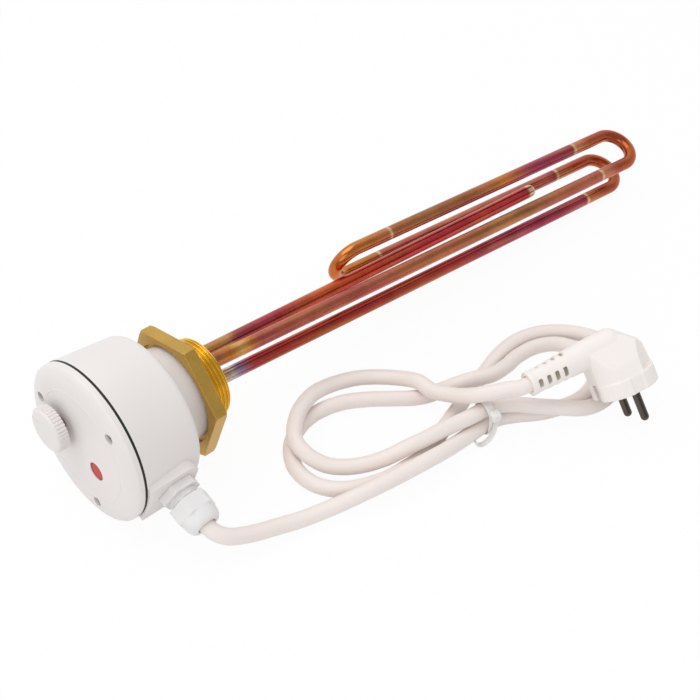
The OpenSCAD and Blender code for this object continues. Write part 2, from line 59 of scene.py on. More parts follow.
RECORD = frame["record"]

bl_info = {
    "name": "Screw plug immersion heater",
    "version": (1, 0, 0),
    "blender": (4, 5, 0),
    "location": "View3D > Sidebar > Heater",
    "description": "Builds the visible pieces and finishes of an immersion heater on its CAD frame",
    "category": "Object",
}

BODY = "heater"

# The heater's own axes: x along the element from the thread's end, y towards the fold.
THREAD = next(m for m in RECORD["mounts"] if m["name"] == "tank_thread")
THREAD_LEN = THREAD["dims"]["length_mm"] / 1000.0
THREAD_R = THREAD["dims"]["r_mm"] / 1000.0
ROLL = math.radians(20.0)
AXIS_X = np.array(THREAD["axis"], float)
AXIS_X = AXIS_X / np.linalg.norm(AXIS_X)
LEVEL_Y = np.array([0.0, 1.0, 0.0])
LEVEL_Z = np.cross(AXIS_X, LEVEL_Y)
AXIS_Y = math.cos(ROLL) * LEVEL_Y + math.sin(ROLL) * LEVEL_Z
AXIS_Z = np.cross(AXIS_X, AXIS_Y)
HEATER_AT = np.array(THREAD["pos_m"], float) + AXIS_X * THREAD_LEN / 2
HEATER_AXES = np.stack([AXIS_X, AXIS_Y, AXIS_Z])

# Centre line of the cord on the table, in millimetres, from the gland to the strain relief.
TABLE_AT_MM = np.array([137.8, -10.8, 0.0]) + HEATER_AT * np.array([1000.0, 1000.0, 0.0])
CORD_ROUTE_MM = TABLE_AT_MM + np.array([
    [-191.5, -61, 17.7], [-187.5, -65, 14.8], [-181, -67.5, 12], [-171.5, -70, 9], [-160, -73, 6.8],
    [-149, -77, 6], [-138, -80.5, 6], [-126, -85, 7.5], [-114, -89.5, 10], [-102, -93, 11.3],
    [-89, -95.5, 11.5], [-76, -97.5, 11.3], [-63, -98.5, 10], [-51, -98.5, 8.3], [-40, -98, 6.6],
    [-30, -98, 5.8], [-19, -100, 5.8], [-8, -105, 4.6], [3, -113, 4.6], [16, -119, 4.6],
    [30, -122, 4.6], [45, -119, 4.6], [56, -110, 4.6], [60, -97, 4.6], [56, -84, 4.6],
    [45, -76, 4.6], [30, -74, 5.5], [14, -77.5, 9.5], [-1, -79, 13.5], [-14, -73.5, 14.4],
    [-25, -65.5, 9.5], [-33.5, -59, 4.9], [-41, -54, 4.6], [-50, -46, 4.6], [-60, -37, 4.6],
    [-72, -29, 4.6], [-85, -25, 4.6], [-97, -25, 4.6], [-107, -28, 4.6], [-115, -33, 4.6],
    [-121, -39.5, 4.6], [-125, -47, 4.6], [-126.5, -55.5, 4.6], [-125.5, -64, 4.6], [-121.5, -72, 4.6],
    [-114.5, -79, 4.6], [-104, -84.5, 4.6], [-93, -88, 4.6], [-81, -89.5, 4.6], [-69, -90, 4.6],
    [-57, -87.5, 4.6], [-44, -83, 4.6], [-30, -79, 4.6], [-14, -74, 4.6], [4, -69.5, 4.6],
    [22, -65, 4.6], [39, -64, 4.6], [53, -68, 4.6], [64, -76, 4.6], [73, -88, 4.6],
    [77, -102, 4.6], [74, -116, 4.6], [64.5, -124.5, 4.6], [51, -130.5, 4.6], [36, -132, 4.6],
    [20.5, -130.2, 8.3], [7, -122.5, 12.7], [-3, -113, 14], [-12, -104, 15.2], [-23, -97.5, 15.8],
    [-38, -94, 15.3], [-52, -90.5, 14.8], [-65, -88, 14.3], [-77, -84.5, 13], [-87, -79.5, 9],
    [-97, -74, 7], [-106, -67.5, 6.5], [-113, -60.5, 7.5], [-117, -53, 10], [-118.5, -46, 12.5],
    [-117, -39, 13.8], [-112, -32.5, 14], [-104, -26, 14], [-95, -21.5, 14], [-85, -18.5, 13],
    [-74, -17, 10], [-63, -18, 7.5], [-52, -22.5, 6.5], [-43, -31, 7], [-37, -43, 10],
    [-35.3, -54, 13.8], [-36, -65, 14.9], [-34, -75, 17.7], [-32.5, -84.5, 22], [-30, -92.5, 26.8],
    [-25, -99, 29.8], [-19, -105, 32.3],
], float)
GLAND_X_MM = -54.0
GLAND_LINE_MM = np.array([[GLAND_X_MM, -51, 0], [GLAND_X_MM, -68.5, 0], [GLAND_X_MM, -72, 0]], float)
PLUG_AT_MM = TABLE_AT_MM + np.array([38.5, -143.5, 21.3])
PLUG_TURN = np.radians([-37.0, -9.0, -16.0])
RELIEF_Z_MM = 28.0
RELIEF_LINE_MM = np.array([[-55, 0, RELIEF_Z_MM], [-30, 0, RELIEF_Z_MM]], float)
TIE_AT_MM = TABLE_AT_MM + np.array([-27.0, -97.5, 11.2])
TIE_TURN = math.radians(-15.0)

# Element and pocket tube: lean and sag in degrees, places along the rod in millimetres.
ELEMENT_LEAN = 3.7
POCKET_LEAN = 2.6
SAG = 0.4
POCKET_LENGTH_MM = 280.0
POCKET_Y_MM = 12.2
ROD_SIDES = 32
RINGS_MM = (346.0, 443.0, 610.0, 700.0, 862.5, 961.5)
TINT_AND_SHADE_GAIN = 1.36

# Screw plug and cover
HEX_CORNER = math.radians(29.0)
HEX_HALF_FLATS_MM = 33.0
COVER_FACE_MM = -79.9

# Camera, from the point on the table that the cord is measured from
CAMERA_FROM_TABLE = np.array([-0.43283, -0.40745, 0.52494])
CAMERA_TURN = (math.radians(47.48), 0.0, math.radians(-44.19))
FLOOR_HALF = 6.0


def turn_matrix(angles):
    """Rotation about x, then y, then z, as one matrix for row vectors."""
    a, b, c = angles
    rx = np.array([[1, 0, 0], [0, math.cos(a), -math.sin(a)], [0, math.sin(a), math.cos(a)]])
    ry = np.array([[math.cos(b), 0, math.sin(b)], [0, 1, 0], [-math.sin(b), 0, math.cos(b)]])
    rz = np.array([[math.cos(c), -math.sin(c), 0], [math.sin(c), math.cos(c), 0], [0, 0, 1]])
    return (rz @ ry @ rx).T


def on_heater(points_mm):
    """Points of the heater's own axes, in millimetres, as points of the frame in metres."""
    return HEATER_AT + np.asarray(points_mm, float) / 1000.0 @ HEATER_AXES


def on_plug(points_mm):
    """Points of the mains plug's own axes, in millimetres, as points of the frame in metres."""
    return (PLUG_AT_MM + np.asarray(points_mm, float) @ turn_matrix(PLUG_TURN)) / 1000.0


class HeaterSizes(bpy.types.PropertyGroup):
    """Sizes that only the visible surface has."""

    thread_pitch: FloatProperty(
        name="Thread pitch", description="Distance between two crests of the pipe thread",
        default=0.00231, min=0.001, max=0.004, precision=5, unit="LENGTH",
    )
    thread_depth: FloatProperty(
        name="Thread depth", description="Depth of the pipe thread",
        default=0.00140, min=0.0005, max=0.0025, precision=5, unit="LENGTH",
    )
    rod_diameter: FloatProperty(
        name="Rod diameter", description="Diameter of the element rod",
        default=0.0082, min=0.006, max=0.010, precision=5, unit="LENGTH",
    )
    cord_diameter: FloatProperty(
        name="Cord diameter", description="Diameter of the mains cord",
        default=0.009, min=0.006, max=0.012, precision=5, unit="LENGTH",
    )
    cord_sides: IntProperty(
        name="Cord sides", description="Number of faces round the cord", default=24, min=12, max=48,
    )


class HeaterColours(bpy.types.PropertyGroup):
    """Base colours of the finishes."""

    moulding: FloatVectorProperty(
        name="Moulding", description="Housing, cover and knob", subtype="COLOR", size=3,
        default=(0.80, 0.755, 0.735), min=0, max=1,
    )
    gland: FloatVectorProperty(
        name="Gland", description="Cord gland", subtype="COLOR", size=3,
        default=(0.81, 0.785, 0.78), min=0, max=1,
    )
    cord: FloatVectorProperty(
        name="Cord", description="Mains cord", subtype="COLOR", size=3,
        default=(0.88, 0.79, 0.745), min=0, max=1,
    )
    brass: FloatVectorProperty(
        name="Brass", description="Screw plug", subtype="COLOR", size=3,
        default=(0.64, 0.385, 0.08), min=0, max=1,
    )
    copper: FloatVectorProperty(
        name="Copper", description="Plain bends of the element", subtype="COLOR", size=3,
        default=(0.34, 0.075, 0.027), min=0, max=1,
    )
    lens: FloatVectorProperty(
        name="Lens", description="Pilot lens", subtype="COLOR", size=3,
        default=(0.60, 0.045, 0.035), min=0, max=1,
    )


class StageSettings(bpy.types.PropertyGroup):
    """Camera and light."""

    focal_length: FloatProperty(
        name="Focal length", description="Lens of the camera in millimetres", default=66.2, min=20, max=200,
    )
    lamp_power: FloatProperty(
        name="Lamp power", description="Power of the large lamp in watts", default=6.0, min=0, max=100,
    )
    sky_strength: FloatProperty(
        name="Sky strength", description="Level of the soft light from all round", default=0.78, min=0, max=2,
    )


def link(obj):
    """Puts an object into the scene."""
    bpy.context.scene.collection.objects.link(obj)
    return obj


def grid_mesh(name, grid, wrap_u, wrap_v):
    """Mesh of a grid of points: u runs over rows and v over columns, with either one closed."""
    rows, cols = grid.shape[:2]
    index = np.arange(rows * cols).reshape(rows, cols)
    if wrap_u:
        index = np.vstack([index, index[:1]])
    if wrap_v:
        index = np.hstack([index, index[:, :1]])
    quads = np.stack([index[:-1, :-1], index[:-1, 1:], index[1:, 1:], index[1:, :-1]], -1).reshape(-1, 4)
    mesh = bpy.data.meshes.new(name)
    mesh.from_pydata(grid.reshape(-1, 3), [], quads.tolist())
    return mesh


def grid_piece(name, grid, material, wrap_u=False, wrap_v=True, sharp=32.0):
    """A surface from one grid of points."""
    return finish_piece(name, grid_mesh(name, grid, wrap_u, wrap_v), material, sharp)


def finish_piece(name, mesh, material, sharp=32.0):
    """Merges seams and poles, points the faces outwards and shades the piece smooth up to an angle."""
    work = bmesh.new()
    work.from_mesh(mesh)
    bmesh.ops.remove_doubles(work, verts=work.verts, dist=2e-6)
    bmesh.ops.recalc_face_normals(work, faces=work.faces)
    work.to_mesh(mesh)
    work.free()
    mesh.polygons.foreach_set("use_smooth", np.ones(len(mesh.polygons), bool))
    mesh.set_sharp_from_angle(angle=math.radians(sharp))
    mesh.update()
    obj = link(bpy.data.objects.new(name, mesh))
    obj.data.materials.append(material)
    return obj


def softened(name, source, material, voxel, rounds):
    """Copy of a CAD node, merged, made even by voxels and smoothed to round its edges."""
    work = bmesh.new()
    work.from_mesh(NODES[source].data)
    bmesh.ops.remove_doubles(work, verts=work.verts, dist=2e-6)
    bmesh.ops.recalc_face_normals(work, faces=work.faces)
    mesh = bpy.data.meshes.new(name)
    work.to_mesh(mesh)
    work.free()
    rough = link(bpy.data.objects.new(name + "_rough", mesh))
    even = rough.modifiers.new("even", "REMESH")
    even.mode = "VOXEL"
    even.voxel_size = voxel
    relax = rough.modifiers.new("relax", "SMOOTH")
    relax.factor = 0.5
    relax.iterations = rounds
    seen = rough.evaluated_get(bpy.context.evaluated_depsgraph_get())
    smooth = bpy.data.meshes.new_from_object(seen)
    bpy.data.objects.remove(rough)
    smooth.name = name
    smooth.materials.clear()
    smooth.polygons.foreach_set("use_smooth", np.ones(len(smooth.polygons), bool))
    obj = link(bpy.data.objects.new(name, smooth))
    obj.data.materials.append(material)
    return obj


def smooth_line(points, step):
    """Catmull-Rom curve through the points, resampled at even steps along its length."""
    ends = np.vstack([2 * points[0] - points[1], points, 2 * points[-1] - points[-2]])
    a, b, c, d = ends[:-3, None], ends[1:-2, None], ends[2:-1, None], ends[3:, None]
    t = np.linspace(0, 1, 16, endpoint=False)[None, :, None]
    curve = 0.5 * (
        2 * b + (c - a) * t + (2 * a - 5 * b + 4 * c - d) * t ** 2 + (3 * b - a - 3 * c + d) * t ** 3
    )
    curve = np.vstack([curve.reshape(-1, 3), points[-1:]])
    run = np.r_[0, np.cumsum(np.linalg.norm(np.diff(curve, axis=0), axis=1))]
    even = np.linspace(0, run[-1], max(int(run[-1] / step), 4))
    return np.stack([np.interp(even, run, curve[:, k]) for k in range(3)], 1)


def tube_grid(line, radius, sides, guide):
    """Circle of the given radius carried along a line; guide is a direction that the line never follows."""
    tangent = np.gradient(line, axis=0)
    tangent /= np.linalg.norm(tangent, axis=1, keepdims=True)
    side = np.cross(tangent, np.asarray(guide, float))
    side /= np.linalg.norm(side, axis=1, keepdims=True)
    up = np.cross(side, tangent)
    angle = np.linspace(0, 2 * math.pi, sides, endpoint=False)
    ring = np.cos(angle)[None, :, None] * side[:, None] + np.sin(angle)[None, :, None] * up[:, None]
    radius = np.broadcast_to(np.asarray(radius, float), (len(line),))
    return line[:, None] + radius[:, None, None] * ring


def run_length(line):
    """Distance along a line at each of its points."""
    return np.r_[0, np.cumsum(np.linalg.norm(np.diff(line, axis=0), axis=1))]


# Shader helpers

def node(tree, kind, at, **values):
    """A shader node at a place in the editor, with its settings."""
    made = tree.nodes.new(kind)
    made.location = at
    for key, value in values.items():
        setattr(made, key, value)
    return made


def mottle_group():
    """Shader group: soft blotches and fine grain from two noises on Object coordinates."""
    name = "Mottle"
    if name in bpy.data.node_groups:
        return bpy.data.node_groups[name]
    tree = bpy.data.node_groups.new(name, "ShaderNodeTree")
    face = tree.interface
    for label, default in (("Blotch Scale", 40.0), ("Grain Scale", 900.0), ("Grain Share", 0.4)):
        face.new_socket(name=label, in_out="INPUT", socket_type="NodeSocketFloat").default_value = default
    for label in ("Blotch", "Grain", "Mixed"):
        face.new_socket(name=label, in_out="OUTPUT", socket_type="NodeSocketFloat")
    enter = node(tree, "NodeGroupInput", (-600, 0))
    leave = node(tree, "NodeGroupOutput", (400, 0))
    place = node(tree, "ShaderNodeTexCoord", (-600, -250))
    blotch = node(tree, "ShaderNodeTexNoise", (-300, 120))
    blotch.inputs["Detail"].default_value = 4.0
    grain = node(tree, "ShaderNodeTexNoise", (-300, -160))
    grain.inputs["Detail"].default_value = 2.0
    mixed = node(tree, "ShaderNodeMix", (60, 0))
    join = tree.links.new
    join(place.outputs["Object"], blotch.inputs["Vector"])
    join(place.outputs["Object"], grain.inputs["Vector"])
    join(enter.outputs["Blotch Scale"], blotch.inputs["Scale"])
    join(enter.outputs["Grain Scale"], grain.inputs["Scale"])
    join(enter.outputs["Grain Share"], mixed.inputs["Factor"])
    join(blotch.outputs["Fac"], mixed.inputs["A"])
    join(grain.outputs["Fac"], mixed.inputs["B"])
    join(blotch.outputs["Fac"], leave.inputs["Blotch"])
    join(grain.outputs["Fac"], leave.inputs["Grain"])
    join(mixed.outputs["Result"], leave.inputs["Mixed"])
    return tree


def bare_material(name):
    """A material with its shader and output, and nothing else."""
    made = bpy.data.materials.new(name)
    made.use_nodes = True
    tree = made.node_tree
    tree.nodes.clear()
    out = node(tree, "ShaderNodeOutputMaterial", (600, 0))
    shader = node(tree, "ShaderNodeBsdfPrincipled", (300, 0))
    tree.links.new(shader.outputs["BSDF"], out.inputs["Surface"])
    return made, tree, shader


def mottled(name, colour, dark, rough=(0.4, 0.5), metal=0.0, scales=(40.0, 900.0), share=0.4, bump=0.0,
            bump_depth=0.0002, coat=0.0, specular=0.5):
    """A finish whose colour and roughness drift over the surface, with a fine bump."""
    made, tree, shader = bare_material(name)
    join = tree.links.new
    group = node(tree, "ShaderNodeGroup", (-500, 0))
    group.node_tree = mottle_group()
    group.inputs["Blotch Scale"].default_value = scales[0]
    group.inputs["Grain Scale"].default_value = scales[1]
    group.inputs["Grain Share"].default_value = share
    ramp = node(tree, "ShaderNodeValToRGB", (-200, 150))
    ramp.color_ramp.elements[0].position = 0.3
    ramp.color_ramp.elements[1].position = 0.7
    ramp.color_ramp.elements[0].color = (*dark, 1)
    ramp.color_ramp.elements[1].color = (*colour, 1)
    join(group.outputs["Mixed"], ramp.inputs["Fac"])
    join(ramp.outputs["Color"], shader.inputs["Base Color"])
    sheen = node(tree, "ShaderNodeMapRange", (-200, -120))
    sheen.inputs["To Min"].default_value = rough[0]
    sheen.inputs["To Max"].default_value = rough[1]
    join(group.outputs["Blotch"], sheen.inputs["Value"])
    join(sheen.outputs["Result"], shader.inputs["Roughness"])
    if bump:
        relief = node(tree, "ShaderNodeBump", (0, -300))
        relief.inputs["Strength"].default_value = bump
        relief.inputs["Distance"].default_value = bump_depth
        join(group.outputs["Grain"], relief.inputs["Height"])
        join(relief.outputs["Normal"], shader.inputs["Normal"])
    shader.inputs["Metallic"].default_value = metal
    shader.inputs["Specular IOR Level"].default_value = specular
    shader.inputs["Coat Weight"].default_value = coat
    return made


def shade_of(colour, factor):
    """A colour made darker by a factor."""
    return tuple(float(c) * factor for c in colour)


def paint(names, material):
    """Gives CAD nodes a finish."""
    for name in names:
        data = NODES[name].data
        data.materials.clear()
        data.materials.append(material)


def heat_tint_and_shade(name):
    """Copper whose colour is the rod's own attribute of heat tint and painted shade, with dull blotches over
    it.
    """
    made, tree, shader = bare_material(name)
    join = tree.links.new
    tint_and_shade = node(tree, "ShaderNodeAttribute", (-800, 150), attribute_name="tint_and_shade")
    group = node(tree, "ShaderNodeGroup", (-1000, -150))
    group.node_tree = mottle_group()
    group.inputs["Blotch Scale"].default_value = 70.0
    group.inputs["Grain Scale"].default_value = 700.0
    tone = node(tree, "ShaderNodeValToRGB", (-560, -150))
    tone.color_ramp.elements[0].position = 0.36
    tone.color_ramp.elements[0].color = (0.62, 0.58, 0.55, 1)
    tone.color_ramp.elements[1].position = 0.60
    tone.color_ramp.elements[1].color = (1, 1, 1, 1)
    grime = node(tree, "ShaderNodeMix", (-200, 150), data_type="RGBA", blend_type="MULTIPLY")
    grime.inputs["Factor"].default_value = 0.7
    sheen = node(tree, "ShaderNodeMapRange", (-200, -120))
    sheen.inputs["To Min"].default_value = 0.17
    sheen.inputs["To Max"].default_value = 0.33
    join(group.outputs["Mixed"], tone.inputs["Fac"])
    join(tint_and_shade.outputs["Color"], grime.inputs["A"])
    join(tone.outputs["Color"], grime.inputs["B"])
    join(grime.outputs["Result"], shader.inputs["Base Color"])
    join(group.outputs["Mixed"], sheen.inputs["Value"])
    join(sheen.outputs["Result"], shader.inputs["Roughness"])
    shader.inputs["Metallic"].default_value = 1.0
    return made


def paint_tint_and_shade(obj, run, sides, upper, under, rings=()):
    """Colour of each point: two lists of tints read along the run, mixed by how far the surface faces up,
    which paints shade on the undersides over their heat tint.
    """
    count = len(obj.data.vertices)
    up = np.empty(count * 3, np.float32)
    obj.data.vertex_normals.foreach_get("vector", up)
    # Painted shade: the under colours take over as the surface turns to face down.
    lift = np.clip(0.5 + 0.9 * up.reshape(-1, 3)[:, 2], 0, 1)[:, None]
    along = np.repeat(run, sides)
    around = np.tile(np.linspace(0, 2 * math.pi, sides, endpoint=False), len(run))
    read = []
    for stops in (upper, under):
        at = np.array([stop[0] for stop in stops])
        shade = np.array([stop[1] for stop in stops])
        read.append(np.stack([np.interp(along, at, shade[:, k]) for k in range(3)], 1))
    colour = read[0] * lift + read[1] * (1 - lift)
    # Lengthwise orange and dark purple streaks from two waves of the run and the angle round the rod: partly
    # heat tint, partly painted reflection.
    wave = np.sin(along / 17.0 + 3.0 * around) * np.sin(along / 41.0 - 2.0 * around + 1.0)
    colour += 0.45 * np.clip(wave - 0.1, 0, 1)[:, None] * (np.array([0.42, 0.17, 0.05]) - colour)
    colour += 0.45 * np.clip(-wave - 0.2, 0, 1)[:, None] * (np.array([0.26, 0.035, 0.06]) - colour)
    for ring in rings:
        share = np.clip(1.5 - np.abs(along - ring), 0, 0.8)[:, None]
        colour += share * (np.array([0.58, 0.42, 0.22]) - colour)
    layer = obj.data.color_attributes.new(name="tint_and_shade", type="FLOAT_COLOR", domain="POINT")
    tinted = np.column_stack([TINT_AND_SHADE_GAIN * colour, np.ones(count)])
    layer.data.foreach_set("color", tinted.astype(np.float32).ravel())


class HEATER_OT_stage(bpy.types.Operator):
    """Camera, lamps, pale floor and sky"""

    bl_idname = "heater.stage"
    bl_label = "Stage"

    def execute(self, context):
        stage = context.scene.heater_stage
        eye = bpy.data.cameras.new("photo_camera")
        eye.sensor_width = 36.0
        eye.lens = stage.focal_length
        eye.clip_end = 20.0
        eye.shift_x = -0.0016
        camera = link(bpy.data.objects.new("photo_camera", eye))
        camera.location = CAMERA_FROM_TABLE + TABLE_AT_MM / 1000.0
        camera.rotation_euler = CAMERA_TURN
        context.scene.camera = camera
        lamps = (
            ("key_lamp", (-0.35, 0.35, 1.25), (0.0, 0.0, 0.0), 1.1, stage.lamp_power),
            ("side_lamp", (-1.2, -0.6, 0.7), (-0.1, 0.0, 0.0), 0.8, stage.lamp_power * 0.35),
        )
        for name, at, aim, size, power in lamps:
            light = bpy.data.lights.new(name, "AREA")
            light.shape = "SQUARE"
            light.size = size
            light.energy = power
            lamp = link(bpy.data.objects.new(name, light))
            lamp.location = at
            way = np.array(aim) - np.array(at)
            way /= np.linalg.norm(way)
            lamp.rotation_euler = (math.acos(-way[2]), 0.0, math.atan2(way[1], way[0]) - math.pi / 2)
        world = context.scene.world or bpy.data.worlds.new("studio")
        context.scene.world = world
        world.use_nodes = True
        tree = world.node_tree
        tree.nodes.clear()
        out = node(tree, "ShaderNodeOutputWorld", (600, 0))
        soft = node(tree, "ShaderNodeBackground", (0, 100))
        soft.inputs["Color"].default_value = (0.98, 0.99, 1.0, 1)
        tree.links.new(room_level(tree, stage.sky_strength), soft.inputs["Strength"])
        clear = node(tree, "ShaderNodeBackground", (0, -100))
        clear.inputs["Color"].default_value = (1, 1, 1, 1)
        mix = node(tree, "ShaderNodeMixShader", (300, 0))
        tree.links.new(seen_ray(tree, gloss=False), mix.inputs["Fac"])
        tree.links.new(soft.outputs["Background"], mix.inputs[1])
        tree.links.new(clear.outputs["Background"], mix.inputs[2])
        tree.links.new(mix.outputs["Shader"], out.inputs["Surface"])
        floor_grid = FLOOR_HALF * np.array([[[-1, -1, 0], [1, -1, 0]], [[-1, 1, 0], [1, 1, 0]]], float)
        floor = grid_piece("floor", floor_grid, floor_finish(), wrap_v=False)
        context.scene.view_settings.view_transform = "Standard"
        return {"FINISHED"}


def room_level(tree, sky):
    """Level of the room: sky for soft light; for gloss 1, falling towards the dim front by its angle."""
    way = node(tree, "ShaderNodeTexCoord", (-1300, 500))
    toward = node(tree, "ShaderNodeVectorMath", (-1100, 500), operation="DOT_PRODUCT")
    toward.inputs[1].default_value = (0.0, -0.62, 0.78)
    fall = node(tree, "ShaderNodeMapRange", (-900, 500), interpolation_type="SMOOTHSTEP")
    fall.inputs["From Min"].default_value = 0.35
    fall.inputs["From Max"].default_value = 0.85
    fall.inputs["To Min"].default_value = 1.0
    fall.inputs["To Max"].default_value = 0.5
    path = node(tree, "ShaderNodeLightPath", (-900, 800))
    level = node(tree, "ShaderNodeMix", (-600, 500), data_type="FLOAT")
    level.inputs["A"].default_value = sky
    tree.links.new(way.outputs["Generated"], toward.inputs[0])
    tree.links.new(toward.outputs["Value"], fall.inputs["Value"])
    tree.links.new(path.outputs["Is Glossy Ray"], level.inputs["Factor"])
    tree.links.new(fall.outputs["Result"], level.inputs["B"])
    return level.outputs["Result"]


def seen_ray(tree, gloss=True):
    """Socket that is 1 on rays that the camera sees, through glass too, and in gloss if asked for."""
    path = node(tree, "ShaderNodeLightPath", (-700, 300))
    first = node(tree, "ShaderNodeMath", (-450, 300), operation="MAXIMUM")
    tree.links.new(path.outputs["Is Camera Ray"], first.inputs[0])
    tree.links.new(path.outputs["Is Transmission Ray"], first.inputs[1])
    if not gloss:
        return first.outputs["Value"]
    second = node(tree, "ShaderNodeMath", (-250, 300), operation="MAXIMUM")
    tree.links.new(first.outputs["Value"], second.inputs[0])
    tree.links.new(path.outputs["Is Glossy Ray"], second.inputs[1])
    return second.outputs["Value"]


def floor_finish():
    """White floor that keeps a faint shadow."""
    made = bpy.data.materials.new("pale_floor")
    made.use_nodes = True
    tree = made.node_tree
    tree.nodes.clear()
    out = node(tree, "ShaderNodeOutputMaterial", (600, 0))
    matte = node(tree, "ShaderNodeBsdfDiffuse", (0, 100))
    matte.inputs["Color"].default_value = (0.86, 0.86, 0.86, 1)
    glow = node(tree, "ShaderNodeEmission", (0, -100))
    glow.inputs["Color"].default_value = (1, 1, 1, 1)
    part = node(tree, "ShaderNodeMath", (0, 300), operation="MULTIPLY")
    part.inputs[1].default_value = 0.95
    mix = node(tree, "ShaderNodeMixShader", (300, 0))
    tree.links.new(seen_ray(tree), part.inputs[0])
    tree.links.new(part.outputs["Value"], mix.inputs["Fac"])
    tree.links.new(matte.outputs["BSDF"], mix.inputs[1])
    tree.links.new(glow.outputs["Emission"], mix.inputs[2])
    tree.links.new(mix.outputs["Shader"], out.inputs["Surface"])
    return made


class HEATER_OT_cord(bpy.types.Operator):
    """Mains cord on its route, from the gland into the plug's strain relief"""

    bl_idname = "heater.cord"
    bl_label = "Mains cord"

    def execute(self, context):
        sizes = context.scene.heater_sizes
        colours = context.scene.heater_colours
        sheath = mottled(
            "cord_sheath", colours.cord, shade_of(colours.cord, 0.95), rough=(0.42, 0.52),
            scales=(30.0, 1500.0), bump=0.06, bump_depth=0.0001,
        )
        route = np.vstack([on_heater(GLAND_LINE_MM), CORD_ROUTE_MM / 1000.0, on_plug(RELIEF_LINE_MM)])
        line = smooth_line(route, 0.0022)
        line[:, 2] = np.maximum(line[:, 2], sizes.cord_diameter / 2)
        grid = tube_grid(line, sizes.cord_diameter / 2, sizes.cord_sides, (0, 0, 1))
        cord = grid_piece("cord_tube", grid, sheath)
        cap_ends(cord, sizes.cord_sides)
        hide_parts("mains_cord")
        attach(cord, BODY)
        plug_pieces = [NODES[n] for n in ("plug_pins", "plug_earth_contacts")]
        plug_pieces += [bpy.data.objects[n] for n in ("plug_moulding", "tie_band", "tie_head", "tie_tail")]
        return {"FINISHED"}


def cap_ends(obj, sides):
    """Closes the two open ends of a tube with one face each."""
    work = bmesh.new()
    work.from_mesh(obj.data)
    loose = [e for e in work.edges if e.is_boundary]
    if loose:
        bmesh.ops.holes_fill(work, edges=loose, sides=sides)
    bmesh.ops.recalc_face_normals(work, faces=work.faces)
    work.to_mesh(obj.data)
    work.free()


class HEATER_OT_element(bpy.types.Operator):
    """Folded copper element and its pocket tube, with heat tints along their length and painted shade on
    their undersides
    """

    bl_idname = "heater.element"
    bl_label = "Element and pocket"

    def execute(self, context):
        sizes = context.scene.heater_sizes
        colours = context.scene.heater_colours
        line = element_line()
        run = run_length(line)
        copper = tuple(colours.copper)
        placed = on_heater(leaned(line, ELEMENT_LEAN, SAG))
        grid = tube_grid(placed, sizes.rod_diameter / 2, ROD_SIDES, turned_guide())
        finish = heat_tint_and_shade("heat_tinted_and_shaded_copper")
        rod = grid_piece("element_rod", grid, finish)
        cap_ends(rod, ROD_SIDES)
        paint_tint_and_shade(rod, run, ROD_SIDES, *element_tints_and_shade(copper), rings=RINGS_MM)
        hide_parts("heating_element")
        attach(rod, BODY)
        self.pocket(sizes, finish)
        return {"FINISHED"}

    def pocket(self, sizes, finish):
        """Closed tube with a round tip: radius r along x, then a quarter circle to the axis."""
        radius = sizes.rod_diameter * 1000.0 / 2
        seat = -18.8
        round_from = POCKET_LENGTH_MM - radius
        straight = np.linspace(seat, round_from, 260)
        bend = np.radians(np.linspace(0, 88, 12))[1:]
        x = np.r_[straight, round_from + radius * np.sin(bend)]
        r = np.r_[np.full(len(straight), radius), radius * np.cos(bend)]
        angle = np.linspace(0, 2 * math.pi, ROD_SIDES, endpoint=False)
        grid = np.stack([
            np.broadcast_to(x[:, None], (len(x), ROD_SIDES)),
            POCKET_Y_MM + r[:, None] * np.cos(angle), r[:, None] * np.sin(angle),
        ], -1)
        tube = grid_piece("pocket_rod", on_heater(leaned(grid, POCKET_LEAN, SAG)), finish)
        cap_ends(tube, ROD_SIDES)
        # The colours below are darker copies of those above: painted shade on the underside of the pocket.
        red = (0.44, 0.045, 0.05)
        shaded_red = (0.34, 0.035, 0.035)
        upper = [
            (0, (0.40, 0.17, 0.08)), (16, (0.42, 0.20, 0.07)), (24, (0.40, 0.22, 0.09)),
            (30, (0.30, 0.07, 0.07)), (60, (0.36, 0.05, 0.06)), (95, (0.50, 0.10, 0.035)),
            (125, (0.50, 0.07, 0.03)), (160, red), (272, red), (273.5, (0.62, 0.50, 0.32)),
            (280, (0.55, 0.42, 0.27)),
        ]
        under = [
            (0, (0.34, 0.12, 0.06)), (24, (0.34, 0.14, 0.06)), (30, shaded_red), (110, (0.44, 0.06, 0.02)),
            (160, shaded_red), (272, shaded_red), (273.5, (0.58, 0.45, 0.28)), (280, (0.5, 0.38, 0.22)),
        ]
        paint_tint_and_shade(tube, x, ROD_SIDES, upper, under)
        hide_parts("pocket_tube")
        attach(tube, BODY)


def turned_guide():
    """Direction between the two planes of the element's bends."""
    return AXIS_Y + AXIS_Z


def leaned(points, lean, sag):
    """Points turned about the plug's centre: lean towards -y, then sag towards -z, in degrees."""
    turn = turn_matrix((0.0, math.radians(sag), -math.radians(lean)))
    return np.asarray(points, float) @ turn


def element_line():
    """Centre line of the rod: leg, far bend, folded run, near bend, and the same way back."""
    start, leg, fold, half, near = -24.6, 348.0, 26.0, 12.5, 127.0
    out = np.linspace(start, leg, 400)
    bend = np.radians(np.linspace(-90, 90, 40))[1:-1]
    back = np.linspace(leg, near, 240)
    turn = np.radians(np.linspace(90, 270, 40))[1:-1]
    zeros = np.zeros_like
    first = np.vstack([
        np.stack([out, zeros(out), zeros(out) + half], 1),
        np.stack([leg + fold / 2 * np.cos(bend), fold / 2 + fold / 2 * np.sin(bend), zeros(bend) + half], 1),
        np.stack([back, zeros(back) + fold, zeros(back) + half], 1),
    ])
    middle = np.stack([near + half * np.cos(turn), zeros(turn) + fold, half * np.sin(turn)], 1)
    last = first[::-1] * np.array([1, 1, -1])
    return np.vstack([first, middle, last])


